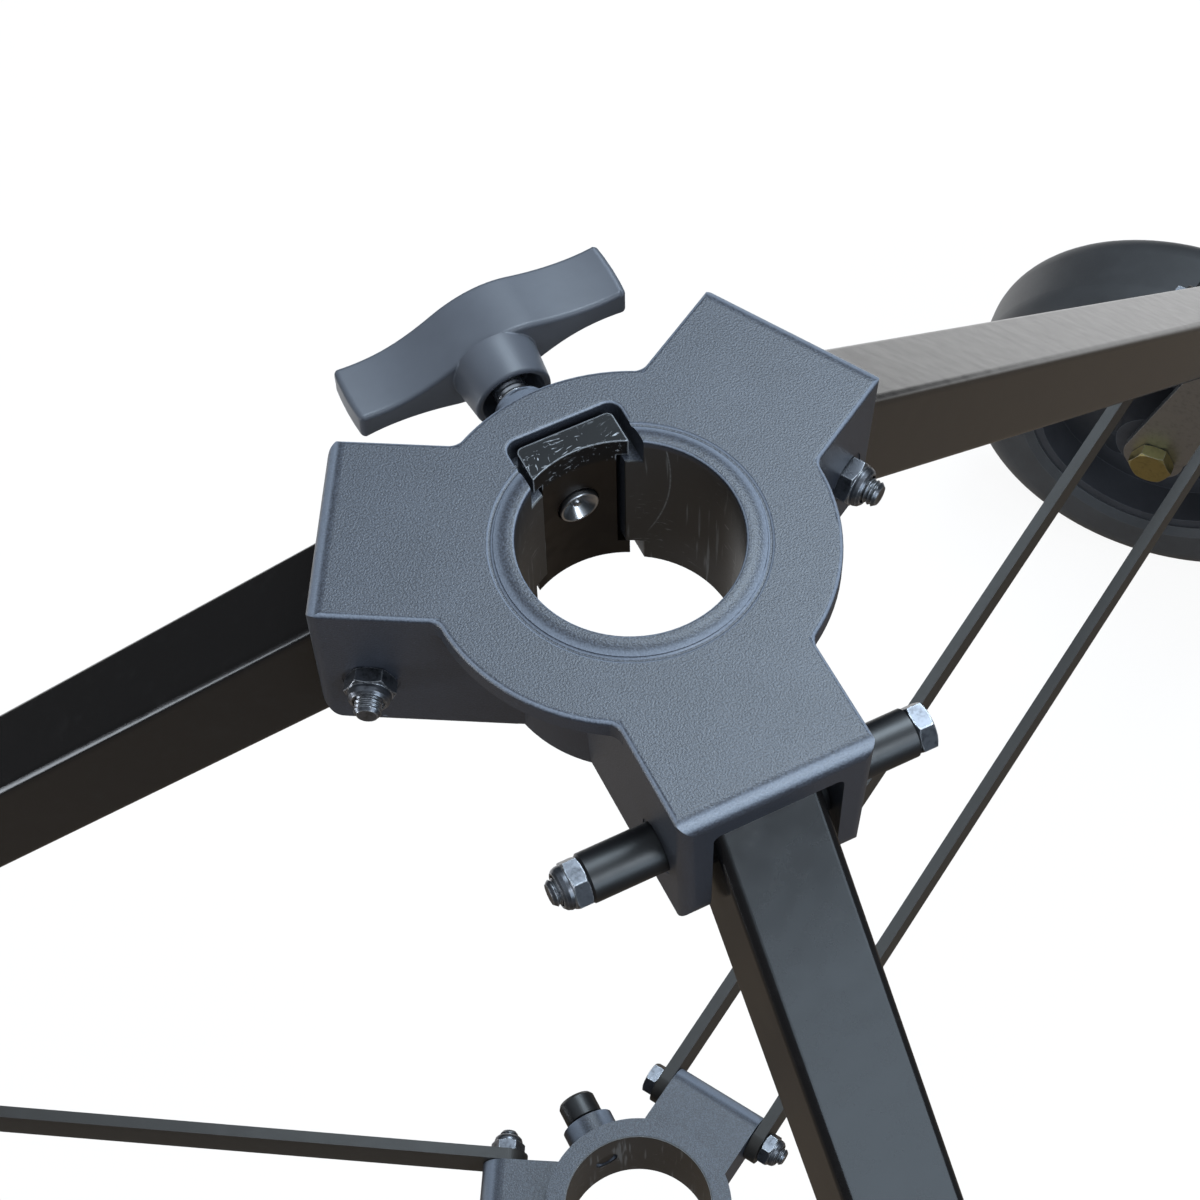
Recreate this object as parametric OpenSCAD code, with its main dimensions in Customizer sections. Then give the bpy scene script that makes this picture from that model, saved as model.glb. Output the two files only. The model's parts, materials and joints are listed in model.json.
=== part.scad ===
// Folding three-leg rolling base for a steadicam stand.
// A cast collar clamps a vertical mast with a T-knob and a shoe. Three square
// legs hang from it, tied by paired flat braces to a lower collar, and each
// stands on a swivel caster. Millimetres. The origin is on the mast axis at
// the top face of the collar, Z is up and the front leg points along -Y.

/* [Mast and hub] */
// Radius of the mast
mast_r = 24.15; // [18:0.05:30]
// Radial clearance between mast and bores
mast_clear = 0.15; // [0.05:0.01:0.2]
// Height of the hub casting
hub_h = 43.6; // [40:0.1:60]
// Wall of the bore tube
tube_wall = 6.2; // [4:0.1:9]
// Radius of the round flange
flange_r = 44.6; // [40:0.1:50]
// Thickness of the round flange
flange_t = 5; // [3:0.1:8]
// Height of the raised lip round the bore
lip_h = 1.2; // [0.8:0.1:2]
// Width of the raised lip
lip_w = 5.2; // [3:0.1:7]
// Rounding of the top edges
edge_r = 1.2; // [0.4:0.1:2]
// Inside rounding where an arm meets the flange
web_r = 4; // [2:0.1:8]

/* [Hub arms] */
// Depth of the arms, lower than the bore tube
arm_h = 45.6; // [44.5:0.1:60]
// Distance from the mast axis to the end of an arm
arm_reach = 66.5; // [62:0.1:80]
// Half width of an arm at its top face
arm_half = 22.45; // [21:0.05:26]
// Draft of the arm walls in degrees
arm_draft = 1.9; // [0:0.1:3]
// Thickness of the top plate of an arm
arm_plate = 8.3; // [6:0.1:9]
// Rounding of the upper end edge
end_r = 4; // [1:0.1:6]
// Rounding of the lower outer corner of an ear
ear_r = 10; // [3:0.1:12]
// Rounding of the upright edges and of the lower outer edges
corner_r = 3; // [0.5:0.1:3]

/* [Leg pivots] */
// Distance from the end of an arm back to its leg pivot
pivot_back = 12; // [10:0.1:14]
// Depth of the leg pivots below the top face
pivot_drop = 26.5; // [26:0.1:30]
// Radius of the pivot bolts
bolt_r = 3; // [2.5:0.1:4]
// Radial running clearance on bolts and pins
pin_fit = 0.05; // [0.02:0.01:0.1]
// Thickness of the plastic washers beside a leg
washer_t = 2; // [1:0.1:3]
// Radius of the washers
washer_r = 8; // [6:0.1:9]
// Side clearance of a washer on each face
side_gap = 0.1; // [0.05:0.01:0.3]
// Distance from the mast axis plane to the spot faces
spot_half = 21.3; // [20.5:0.05:22]
// Half length of the long front bolt between head and nut
long_half = 38.4; // [30:0.1:50]
// Radius of the spacer sleeves
sleeve_r = 5.55; // [4.5:0.05:7]

/* [Clamp] */
// Depth of the clamp screw below the top face
screw_drop = 21; // [18:0.1:24]
// Radius of the clamp screw
screw_r = 4; // [3:0.1:5]
// Radius of the screw boss
boss_r = 10.8; // [9:0.1:13]
// Distance from the mast axis to the end of the screw boss
boss_reach = 52.5; // [48:0.1:55]
// Radius of the boss nose inside the knob neck
nose_r = 6.2; // [5.8:0.1:6.6]
// Distance from the mast axis to the end of the nose
nose_reach = 57.2; // [55:0.1:58]
// Half width of the shoe body
shoe_half = 8.9; // [7:0.1:10]
// Half width of the shoe head and foot
head_half = 11.4; // [10.6:0.1:12]
// Height of the shoe head and foot
head_h = 5; // [3:0.1:7]
// Side clearance of the shoe body in its slot
slot_gap = 1; // [0.3:0.1:1.4]
// Side clearance of the shoe head in its pocket
pocket_gap = 2; // [1:0.1:2.4]
// Distance from the mast axis to the flat back of the shoe
shoe_back = 32.4; // [31:0.1:33]
// Distance from the mast axis to the back of the pocket
pocket_back = 34.2; // [34:0.1:36]
// How far the shoe face stands back from the bore
setback = 2; // [0.5:0.1:3]
// How far the shoe top lies below the top face
shoe_drop = 1.2; // [0.6:0.1:3]
// Depth of the lower end of the shoe below the top face
shoe_foot = 44.7; // [42:0.1:46]

/* [T-knob] */
// Half span of the T-bar
knob_half = 34; // [26:0.5:40]
// Thickness of the T-bar along the screw
knob_t = 16; // [10:0.5:22]
// Distance from the mast axis to the near face of the T-bar
knob_at = 68.8; // [66:0.1:75]
// Distance from the mast axis to the mouth of the knob neck
neck_at = 58.5; // [57.5:0.1:62]
// Radius of the knob neck at its mouth
neck_r = 9.35; // [8.4:0.05:12]
// Rounding of the T-bar edges
knob_round = 1.2; // [0.5:0.1:2]

/* [Legs] */
// Side of the square leg tube
tube_side = 25.4; // [22:0.1:26]
// Wall of the leg tube
tube_wall_t = 2; // [1.2:0.1:3]
// Outside corner radius of the leg tube
tube_corner = 2.4; // [1.5:0.1:4]
// Slope of the legs below level in degrees
leg_angle = 44; // [40:0.5:48]
// Length of the tube above its pivot
heel = 11; // [8:0.1:11.5]
// Depth of the foot plate top below the hub top
foot_drop = 496; // [460:1:520]
// Thickness of the foot plate
foot_t = 5; // [3:0.5:8]

/* [Braces and lower collar] */
// Distance along a leg from its pivot to the brace pin
brace_at = 517.5; // [490:0.5:530]
// Height of the flat brace bars
bar_h = 14; // [11:0.5:20]
// Thickness of a brace bar
bar_t = 4; // [2:0.5:5]
// Distance from the leg centre plane to the inner face of a bar
bar_in = 17; // [16:0.1:20]
// Side clearance of a bar
bar_gap = 0.3; // [0.2:0.05:0.6]
// Distance from the mast axis to the collar pins
collar_pin_r = 46; // [44:0.5:52]
// Depth of the collar pins below the hub top
collar_drop = 415.6; // [400:0.1:425]
// Height of the lower collar ring
collar_h = 30; // [22:0.5:44]
// Wall of the lower collar ring
collar_wall = 6.7; // [4:0.1:10]

/* [Casters] */
// Distance from the foot of a leg's centre line out to its caster stem
stem_out = 32.6185; // [20:0.0005:36]
// Direction of a caster trail from its leg in degrees
swivel = 100.6; // [0:0.1:180]
// Trail of the axle behind the stem
trail = 52.5; // [40:0.5:60]
// Depth of the axle below the caster plate
axle_drop = 135; // [130:0.5:150]
// Wheel radius
wheel_r = 100; // [80:1:104]
// Half width of the tyre
tyre_half = 27; // [20:0.5:28]
// Rounding of the tyre shoulders
shoulder_r = 16; // [6:0.5:18]
// Radius where the tyre sits on the rim
rim_r = 66; // [52:0.5:72]
// Half distance between the fork plates
fork_in = 29.5; // [28.6:0.1:34]
// Thickness of the fork plates
fork_t = 4; // [3:0.5:6]
// Radius of the axle bolt
axle_r = 6; // [4:0.5:8]
// Radius of the king bolt
king_r = 6; // [5:0.5:8]
// Radius of the swivel race
race_r = 34; // [28:0.5:40]

/* [Hidden] */
$fn = 64;
// legs and arms are numbered 0 front, 1 right, 2 left
big = 400;
seat_fit = 0.03;
bore_r = mast_r + mast_clear;
tube_or = bore_r + tube_wall;
pivot_r = arm_reach - pivot_back;
hole_r = bolt_r + pin_fit;
in_half = tube_side / 2 + washer_t + 2 * side_gap;
bush_r = bolt_r + 2;
bolt_af = 10;
nut_h = 6;
head_t = 4;
// clamp
slot_half = shoe_half + slot_gap;
pocket_half = head_half + pocket_gap;
pocket_h = shoe_drop + head_h + 0.3;
house_half = pocket_half + 3.6;
house_reach = pocket_back + 5.8;
screw_hole_r = screw_r + pin_fit;
boss_root = bore_r - 4.3;
stud_end = knob_at + knob_t - 7;
tip_at = bore_r + setback + 0.3;
// braces
brace_x = pivot_r + brace_at * cos(leg_angle) - collar_pin_r;
brace_z = collar_drop - pivot_drop - brace_at * sin(leg_angle);
brace_len = sqrt(brace_x * brace_x + brace_z * brace_z);
brace_angle = atan2(brace_z, brace_x);
lug_half = bar_in - bar_gap;
bar_out = bar_in + bar_t;
collar_or = bore_r + collar_wall;
// legs
tube_reach = (foot_drop - pivot_drop) / sin(leg_angle) + tube_side;
stem_r = pivot_r + (foot_drop - pivot_drop) / tan(leg_angle) + stem_out;
foot_out = 52;
foot_in = 59;
foot_half = 45;
// casters
plate_t = 3.5;
plate_half_x = 50;
plate_half_y = 42.5;
bolt_x = 40;
bolt_y = 30;
m8_r = 4;
race_z = 9;
crown_z = 9.3;
crown_h = 8;
crown_r = 36;
fork_out = fork_in + fork_t;
hub_half = tyre_half;
bearing_r = axle_r + 8;

module at_arm(i)
{
    rotate([0, 0, -90 + 120 * i]) children();
}

module at_pivot(i)
{
    at_arm(i) translate([pivot_r, 0, -pivot_drop]) children();
}

module at_leg(i)
{
    at_pivot(i) rotate([0, leg_angle, 0]) children();
}

module at_brace(i)
{
    at_arm(i) translate([collar_pin_r, 0, -collar_drop]) rotate([0, -brace_angle, 0]) children();
}

module at_stem(i)
{
    at_arm(i) translate([stem_r, 0, -foot_drop - foot_t]) children();
}

module at_wheel(i)
{
    at_stem(i) rotate([0, 0, swivel]) translate([trail, 0, -axle_drop]) rotate([90, 0, 0]) children();
}

// a shape drawn as [across, up], run out along x
module along_x(len)
{
    rotate([90, 0, 90]) linear_extrude(len) children();
}

// a shape drawn as [out, up], centred across y
module across_y(len)
{
    translate([0, len / 2, 0]) rotate([90, 0, 0]) linear_extrude(len) children();
}

// turns a solid built up z so that it runs out along +y or -y
module along_y(side)
{
    rotate([-90 * side, 0, 0]) children();
}

module ring(ri, ro, h)
{
    difference()
    {
        cylinder(r = ro, h = h);
        translate([0, 0, -1]) cylinder(r = ri, h = h + 2);
    }
}

// square plan with round corners, centred
module round_rect(hx, hy, r)
{
    square([2 * hx - 2 * r, 2 * hy], center = true);
    square([2 * hx, 2 * hy - 2 * r], center = true);
    for (sx = [-1, 1])
        for (sy = [-1, 1])
            translate([sx * (hx - r), sy * (hy - r)]) circle(r);
}

// hexagon prism with both ends chamfered
module hex_prism(af, h)
{
    rc = af / sqrt(3);
    c = (rc - af / 2) * 0.6;
    intersection()
    {
        cylinder(r = rc, h = h, $fn = 6);
        rotate_extrude()
            polygon([[0, 0], [af / 2, 0], [rc + 0.1, c], [rc + 0.1, h - c], [af / 2, h], [0, h]]);
    }
}

// shank with ring grooves near its end and a chamfered tip
module shank(r, len, rings, pitch)
{
    d = pitch * 0.45;
    start = len - 0.8 - rings * pitch;
    grooves = [for (k = [0:rings - 1]) each [[r, start + k * pitch + 0.08 * pitch],
        [r - d, start + (k + 0.5) * pitch], [r, start + (k + 0.92) * pitch]]];
    rotate_extrude() polygon(concat([[0, 0], [r, 0]], grooves, [[r - 0.7, len], [0, len]]));
}

module hex_bolt(r, len, af, h, rings, pitch)
{
    shank(r, len, rings, pitch);
    translate([0, 0, -h]) hex_prism(af, h);
}

// lock nut with a round collar over its insert
module lock_nut(r, af, h)
{
    difference()
    {
        union()
        {
            hex_prism(af, h * 0.62);
            rotate_extrude()
                polygon([[0, h * 0.4], [af * 0.48, h * 0.4], [af * 0.48, h * 0.76], [af * 0.45, h * 0.9],
                [af * 0.39, h], [0, h]]);
        }
        translate([0, 0, -1]) cylinder(r = r + pin_fit, h = h + 2);
        translate([0, 0, h - 0.9]) cylinder(r = r + 0.5, h = 2);
    }
}

// outline across an arm with drafted walls and rounded edges
module arm_section()
{
    c = cos(arm_draft);
    d = sin(arm_draft);
    xt = arm_half - edge_r * (1 + d) / c;
    low = arm_half - arm_h * tan(arm_draft);
    xb = low - corner_r * (1 - d) / c;
    zt = -edge_r * (1 + d);
    zb = -arm_h + corner_r * (1 - d);
    polygon([[-xt, 0], [xt, 0], [xt + edge_r * c, zt], [xb + corner_r * c, zb], [xb, -arm_h],
        [-xb, -arm_h], [-xb - corner_r * c, zb], [-xt - edge_r * c, zt]]);
    for (s = [-1, 1])
    {
        translate([s * xt, -edge_r]) circle(edge_r);
        translate([s * xb, -arm_h + corner_r]) circle(corner_r);
    }
}

// outline of an arm seen from its side
module arm_side()
{
    polygon([[0, 0], [arm_reach - end_r, 0], [arm_reach, -end_r], [arm_reach, -arm_h + ear_r],
        [arm_reach - ear_r, -arm_h], [0, -arm_h]]);
    translate([arm_reach - end_r, -end_r]) circle(end_r);
    translate([arm_reach - ear_r, -arm_h + ear_r]) circle(ear_r);
}

// a tall prism whose one upright edge rounds the drafted arm corner
module arm_corner()
{
    translate([0, arm_half, 0]) rotate([-arm_draft, 0, 0]) translate([0, 0, -arm_h - 5])
        linear_extrude(arm_h + 10)
        {
            polygon([[-5, 0], [arm_reach - corner_r, 0], [arm_reach, -corner_r],
                [arm_reach, -2 * arm_half - 5], [-5, -2 * arm_half - 5]]);
            translate([arm_reach - corner_r, -corner_r]) circle(corner_r);
        }
}

module arm_body()
{
    intersection()
    {
        along_x(arm_reach) arm_section();
        across_y(3 * arm_half) arm_side();
        arm_corner();
        mirror([0, 1, 0]) arm_corner();
    }
}

// the open channel between two ears
module ear_gap()
{
    translate([tube_or - 10, 0, 0]) along_x(arm_reach)
    {
        polygon([[-in_half, -arm_h - 1], [in_half, -arm_h - 1], [in_half, -arm_plate - 2],
            [in_half - 2, -arm_plate], [-in_half + 2, -arm_plate], [-in_half, -arm_plate - 2]]);
        for (s = [-1, 1])
        {
            translate([s * (in_half - 2), -arm_plate - 2]) circle(2);
            difference()
            {
                translate([s * (in_half + 0.4), -arm_h]) square([2.2, 3.6], center = true);
                translate([s * (in_half + 1.5), -arm_h + 1.8]) circle(1.5);
            }
        }
    }
}

module flange()
{
    rotate_extrude()
    {
        polygon([[0, -flange_t], [flange_r, -flange_t], [flange_r, -edge_r], [flange_r - edge_r, 0], [0, 0]]);
        translate([flange_r - edge_r, -edge_r]) circle(edge_r);
    }
}

// hollow corner that blends an arm wall into the flange edge
module web()
{
    bite = 0.08;
    y = arm_half + web_r - bite;
    x = sqrt(pow(flange_r + web_r - bite, 2) - y * y);
    k = flange_r / (flange_r + web_r);
    difference()
    {
        translate([0, 0, -flange_t]) linear_extrude(flange_t)
            polygon([[x, arm_half - 0.5], [x, y], [x * k, y * k],
                [x * k - 2, y * k - 2], [x * k - 2, arm_half - 0.5]]);
        translate([x, y, 0]) rotate_extrude()
        {
            translate([0, -flange_t - 1]) square([web_r, flange_t + 2]);
            difference()
            {
                translate([0, -edge_r]) square([web_r + edge_r, edge_r + 1]);
                translate([web_r + edge_r, -edge_r]) circle(edge_r);
            }
        }
    }
}

// boss that carries the clamp screw, built along y, with a nose that enters the knob
module boss()
{
    foot = boss_reach - boss_root;
    tip = nose_reach - boss_root;
    translate([0, boss_root, -screw_drop]) along_y(1) rotate_extrude()
    {
        polygon([[0, 0], [boss_r, 0], [boss_r, foot - 2], [nose_r + 1.9, foot], [nose_r, tip - 1.6],
            [nose_r - 1.6, tip], [0, tip]]);
        translate([nose_r - 1.6, tip - 1.6]) circle(1.6);
    }
}

// bead round the bore: a tight inner edge, then a slow roll down to the groove
module lip()
{
    tight = 0.7;
    slow = lip_w + 0.8;
    edge = 0.5 * slow / (slow - tight);
    up = sqrt(pow(slow - tight, 2) - 0.25);
    rotate_extrude() translate([bore_r + tight, 0])
    {
        translate([-tight, -0.5]) square([tight, lip_h - slow + up + 0.5]);
        translate([0, lip_h - slow + up]) circle(tight);
        intersection()
        {
            translate([0.5, lip_h - slow]) circle(slow);
            translate([0.5 - edge, -0.5]) square([lip_w - 0.5 + edge - tight, lip_h + 0.5]);
        }
    }
}

// space for the shoe body, head and foot
module shoe_pocket()
{
    translate([0, 0, -hub_h - 1]) linear_extrude(hub_h + 5)
        translate([-slot_half, 0]) square([2 * slot_half, pocket_back]);
    for (z = [-pocket_h, -hub_h - 2])
        translate([0, 0, z]) linear_extrude(pocket_h + 2)
            translate([0, (pocket_back + 5) / 2]) round_rect(pocket_half, (pocket_back - 5) / 2, 3);
}

// what a rounding of radius e takes off an edge, drawn as [into the wall, up]
module edge_cut(e)
{
    difference()
    {
        translate([-1, -e]) square([e + 1, e + 1]);
        translate([e, -e]) circle(e);
    }
}

// rounding of the top edge of the pocket behind the lip
module pocket_edge()
{
    e = 0.8;
    from = bore_r + lip_w - 1.5;
    to = pocket_back - 3;
    for (m = [0, 1])
        mirror([m, 0, 0])
        {
            translate([pocket_half, to, 0]) rotate([90, 0, 0]) linear_extrude(to - from) edge_cut(e);
            translate([pocket_half - 3, to, 0]) rotate_extrude(angle = 90) translate([3, 0]) edge_cut(e);
        }
    translate([3 - pocket_half, pocket_back, 0]) along_x(2 * pocket_half - 6) edge_cut(e);
}

module hub_casting()
{
    color([0.16, 0.17, 0.19]) difference()
    {
        union()
        {
            for (i = [0:2])
                at_arm(i)
                {
                    difference()
                    {
                        arm_body();
                        ear_gap();
                        translate([0, 0, -arm_h - 1]) cylinder(r = tube_or + 1, h = arm_h - hub_h + 1);
                    }
                    web();
                    mirror([0, 1, 0]) web();
                }
            flange();
            translate([0, 0, -hub_h]) cylinder(r = tube_or, h = hub_h);
            boss();
            translate([0, house_reach / 2 + 5, -hub_h]) linear_extrude(hub_h - 1)
                round_rect(house_half, house_reach / 2 - 5, 3);
            lip();
        }
        translate([0, 0, -arm_h - 1]) cylinder(r = bore_r, h = arm_h + 5);
        rotate_extrude() translate([bore_r + lip_w + 0.1, 0.35]) circle(0.8);
        shoe_pocket();
        pocket_edge();
        translate([0, boss_root, -screw_drop]) along_y(1) cylinder(r = screw_hole_r, h = boss_reach);
        for (i = [0:2])
            at_pivot(i) for (s = [-1, 1])
            {
                along_y(s) cylinder(r = hole_r, h = arm_half + 2);
                translate([0, s * spot_half, 0]) along_y(s) cylinder(r = 6.3, h = 5);
            }
    }
}

module short_pivot_bolts()
{
    color([0.3, 0.31, 0.33]) for (i = [1, 2])
    {
        s = i == 1 ? 1 : -1;
        at_pivot(i) translate([0, s * spot_half, 0]) along_y(-s)
            hex_bolt(bolt_r, 2 * spot_half + nut_h + 3.2, bolt_af, head_t, 3, 1);
    }
}

module long_pivot_bolt()
{
    color([0.3, 0.31, 0.33]) at_pivot(0) translate([0, long_half, 0]) along_y(-1)
        hex_bolt(bolt_r, 2 * long_half + nut_h + 1.8, bolt_af, head_t, 2, 1);
}

module pivot_nuts()
{
    color([0.3, 0.31, 0.33])
    {
        at_pivot(1) translate([0, -spot_half, 0]) along_y(-1) lock_nut(bolt_r, bolt_af, nut_h);
        at_pivot(2) translate([0, spot_half, 0]) along_y(1) lock_nut(bolt_r, bolt_af, nut_h);
        at_pivot(0) translate([0, -long_half, 0]) along_y(-1) lock_nut(bolt_r, bolt_af, nut_h);
    }
}

module spacer_sleeves()
{
    color([0.08, 0.08, 0.09]) at_pivot(0) for (s = [-1, 1])
        translate([0, s * spot_half, 0]) along_y(s) difference()
        {
            rotate_extrude() polygon([[0, 0], [sleeve_r, 0], [sleeve_r, long_half - spot_half - 0.5],
                [sleeve_r - 0.5, long_half - spot_half], [0, long_half - spot_half]]);
            translate([0, 0, -1]) cylinder(r = hole_r, h = long_half);
        }
}

module pivot_washers()
{
    color([0.85, 0.85, 0.82]) for (i = [0:2])
        at_pivot(i) for (s = [-1, 1])
            translate([0, s * (tube_side / 2 + side_gap), 0]) along_y(s) ring(hole_r, washer_r, washer_t);
}

module shoe_plan(half)
{
    difference()
    {
        union()
        {
            translate([-half, bore_r - 6]) square([2 * half, shoe_back - bore_r + 4.5]);
            translate([-half + 1.5, bore_r - 6]) square([2 * half - 3, shoe_back - bore_r + 6]);
            for (s = [-1, 1])
                translate([s * (half - 1.5), shoe_back - 1.5]) circle(1.5);
        }
        translate([0, setback]) circle(bore_r);
    }
}

module clamp_shoe()
{
    color([0.1, 0.09, 0.08]) difference()
    {
        union()
        {
            translate([0, 0, -shoe_foot]) linear_extrude(shoe_foot - shoe_drop) shoe_plan(shoe_half);
            for (z = [-shoe_foot, -shoe_drop - head_h])
                translate([0, 0, z]) linear_extrude(head_h) shoe_plan(head_half);
        }
        translate([0, bore_r - 2, -screw_drop]) along_y(1) cylinder(r = screw_r - 0.9, h = 20);
        translate([0, bore_r - 2, -screw_drop]) along_y(1) cylinder(r = screw_r + 1, h = setback + 4);
    }
}

module clamp_stud()
{
    p = 1.25;
    s0 = boss_reach - 8;
    rings = 14;
    grooves = [for (k = [0:rings - 1]) each [[screw_r, s0 + k * p + 0.1], [screw_r - 0.6, s0 + (k + 0.5) * p],
        [screw_r, s0 + (k + 0.9) * p]]];
    neck = screw_r - 1;
    color([0.7, 0.71, 0.73]) translate([0, 0, -screw_drop]) along_y(1) rotate_extrude()
        polygon(concat([[0, tip_at + 0.2], [1.2, tip_at + 0.2], [1.7, tip_at], [screw_r - 0.6, tip_at + 0.35],
            [screw_r + 0.2, tip_at + 0.9], [screw_r + 0.2, tip_at + 1.6], [neck, tip_at + 1.6],
            [neck, shoe_back + 0.15], [screw_r, shoe_back + 0.15]],
            grooves, [[screw_r, stud_end], [0, stud_end]]));
}

function bez(a, b, c, d, n) = [for (k = [0:n - 1]) let (t = k / n, u = 1 - t)
    u * u * u * a + 3 * u * u * t * b + 3 * u * t * t * c + t * t * t * d];

// upper edge of the T-bar as [across, up], from one tip to the other
function knob_edge(h) = concat(
    bez([h, 0], [0.676 * h, -0.035 * h], [0.5 * h, 0.035 * h], [0.265 * h, 0.17 * h], 9),
    bez([0.265 * h, 0.17 * h], [0.088 * h, 0.276 * h], [-0.118 * h, 0.324 * h], [-0.324 * h, 0.268 * h], 9),
    bez([-0.324 * h, 0.268 * h], [-0.559 * h, 0.206 * h], [-0.794 * h, 0.188 * h], [-h, 0.232 * h], 7),
    [[-h, 0.232 * h]]);

module t_knob()
{
    top = knob_edge(knob_half);
    low = [for (p = top) [-p[0], -p[1]]];
    color([0.14, 0.15, 0.17]) translate([0, 0, -screw_drop]) difference()
    {
        union()
        {
            translate([0, knob_at + knob_t - knob_round, 0]) rotate([90, 0, 0]) mirror([1, 0, 0]) minkowski()
            {
                linear_extrude(knob_t - 2 * knob_round) offset(delta = -knob_round) polygon(concat(top, low));
                sphere(knob_round, $fn = 16);
            }
            translate([0, neck_at, 0]) along_y(1) rotate_extrude()
                polygon([[0, 0], [neck_r - 0.5, 0], [neck_r, 0.5], [neck_r + 1, knob_at - neck_at + 1],
                    [neck_r + 1, knob_at - neck_at + 3], [0, knob_at - neck_at + 3]]);
        }
        translate([0, neck_at - 1, 0]) along_y(1) cylinder(r = screw_hole_r, h = stud_end - neck_at + 1.1);
        translate([0, neck_at - 1, 0]) along_y(1) cylinder(r = neck_r - 1.75, h = 8.5);
    }
}

module leg_tube(i)
{
    color([0.12, 0.12, 0.13]) at_arm(i) difference()
    {
        translate([pivot_r, 0, -pivot_drop]) rotate([0, leg_angle, 0]) difference()
        {
            translate([-heel, 0, 0]) along_x(tube_reach + heel)
                round_rect(tube_side / 2, tube_side / 2, tube_corner);
            translate([-heel - 1, 0, 0]) along_x(tube_reach + heel + 2)
                round_rect(tube_side / 2 - tube_wall_t, tube_side / 2 - tube_wall_t, tube_corner * 0.4);
            for (x = [0, brace_at])
                translate([x, -tube_side, 0]) along_y(1) cylinder(r = bush_r + seat_fit, h = 2 * tube_side);
        }
        translate([stem_r - big, -big / 2, -foot_drop - big]) cube([2 * big, big, big]);
    }
}

module pivot_bush(i)
{
    color([0.75, 0.62, 0.35]) at_pivot(i) translate([0, -tube_side / 2, 0]) along_y(1)
        ring(hole_r, bush_r, tube_side);
}

module brace_bush(i)
{
    color([0.55, 0.56, 0.58]) at_leg(i) translate([brace_at, -lug_half, 0]) along_y(1)
        ring(hole_r, bush_r, 2 * lug_half);
}

module plate_holes(h)
{
    for (sx = [-1, 1])
        for (sy = [-1, 1])
            translate([sx * bolt_x, sy * bolt_y, -h - 1]) cylinder(r = m8_r + 0.2, h = h + 2);
}

module foot_plate(i)
{
    color([0.12, 0.12, 0.13]) at_stem(i) difference()
    {
        linear_extrude(foot_t) translate([(foot_out - foot_in) / 2, 0])
            round_rect((foot_out + foot_in) / 2, foot_half, 8);
        translate([0, 0, foot_t]) plate_holes(foot_t);
    }
}

module caster_plate(i)
{
    color([0.6, 0.61, 0.63]) at_stem(i) difference()
    {
        union()
        {
            translate([0, 0, -plate_t]) linear_extrude(plate_t) round_rect(plate_half_x, plate_half_y, 7);
            rotate_extrude() polygon([[0, -race_z], [race_r - 3, -race_z], [race_r, -plate_t],
                [race_r, -1], [0, -1]]);
        }
        plate_holes(plate_t);
        translate([0, 0, -race_z - 1]) cylinder(r = king_r + pin_fit, h = race_z + 2);
        translate([0, 0, -2.5]) cylinder(r = king_r + 4 + pin_fit, h = 4);
    }
}

module caster_bolts(i)
{
    color([0.72, 0.66, 0.45]) at_stem(i) for (sx = [-1, 1])
        for (sy = [-1, 1])
            translate([sx * bolt_x, sy * bolt_y, 0])
            {
                translate([0, 0, foot_t]) mirror([0, 0, 1])
                    hex_bolt(m8_r, foot_t + plate_t + 7.5, 13, 5.3, 1, 1.25);
                translate([0, 0, -plate_t]) mirror([0, 0, 1]) ring_nut();
            }
}

module ring_nut()
{
    difference()
    {
        hex_prism(13, 6.5);
        translate([0, 0, -1]) cylinder(r = m8_r + pin_fit, h = 9);
    }
}

module king_bolt(i)
{
    z = crown_z + crown_h + 0.4;
    color([0.5, 0.51, 0.53]) at_stem(i)
    {
        translate([0, 0, -z - 9.5]) cylinder(r = king_r, h = z + 9.5 - 0.5);
        translate([0, 0, -2.5]) cylinder(r = king_r + 4, h = 2);
        translate([0, 0, -z - 7]) difference()
        {
            hex_prism(19, 7);
            translate([0, 0, -1]) cylinder(r = king_r + pin_fit, h = 9);
        }
    }
}

module brace_bars(i)
{
    color([0.22, 0.21, 0.2]) at_brace(i) for (s = [-1, 1])
        translate([0, s * (bar_in + bar_t / 2), 0]) across_y(bar_t) difference()
        {
            union()
            {
                translate([0, -bar_h / 2]) square([brace_len, bar_h]);
                for (x = [0, brace_len])
                    translate([x, 0]) circle(bar_h / 2);
            }
            for (x = [0, brace_len])
                translate([x, 0]) circle(hole_r);
        }
}

module brace_screws(i)
{
    color([0.4, 0.41, 0.43]) at_brace(i) for (s = [-1, 1])
        translate([brace_len, s * bar_out, 0]) along_y(-s) hex_bolt(bolt_r, bar_t, bolt_af, head_t, 1, 1);
}

module lower_collar()
{
    color([0.16, 0.17, 0.19]) translate([0, 0, -collar_drop]) difference()
    {
        union()
        {
            translate([0, 0, -collar_h / 2]) cylinder(r = collar_or, h = collar_h);
            for (i = [0:2])
                at_arm(i) across_y(2 * lug_half)
                {
                    translate([bore_r + 2, -8]) square([collar_pin_r - bore_r - 2, 16]);
                    translate([collar_pin_r, 0]) circle(8);
                }
            translate([0, bore_r + 2, 0]) along_y(1) cylinder(r = 9, h = collar_wall + 6);
        }
        translate([0, 0, -collar_h]) cylinder(r = bore_r, h = 2 * collar_h);
        translate([0, bore_r / 2, 0]) along_y(1) cylinder(r = screw_hole_r, h = bore_r + 2 * collar_wall);
        for (i = [0:2])
            at_arm(i) translate([collar_pin_r, -lug_half - 1, 0]) along_y(1)
                cylinder(r = hole_r, h = 2 * lug_half + 2);
    }
}

module collar_bolts()
{
    color([0.4, 0.41, 0.43]) for (i = [0:2])
        at_arm(i) translate([collar_pin_r, bar_out + bar_gap, -collar_drop]) along_y(-1)
            hex_bolt(bolt_r, 2 * (bar_out + bar_gap) + nut_h + 2, bolt_af, head_t, 2, 1);
}

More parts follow.
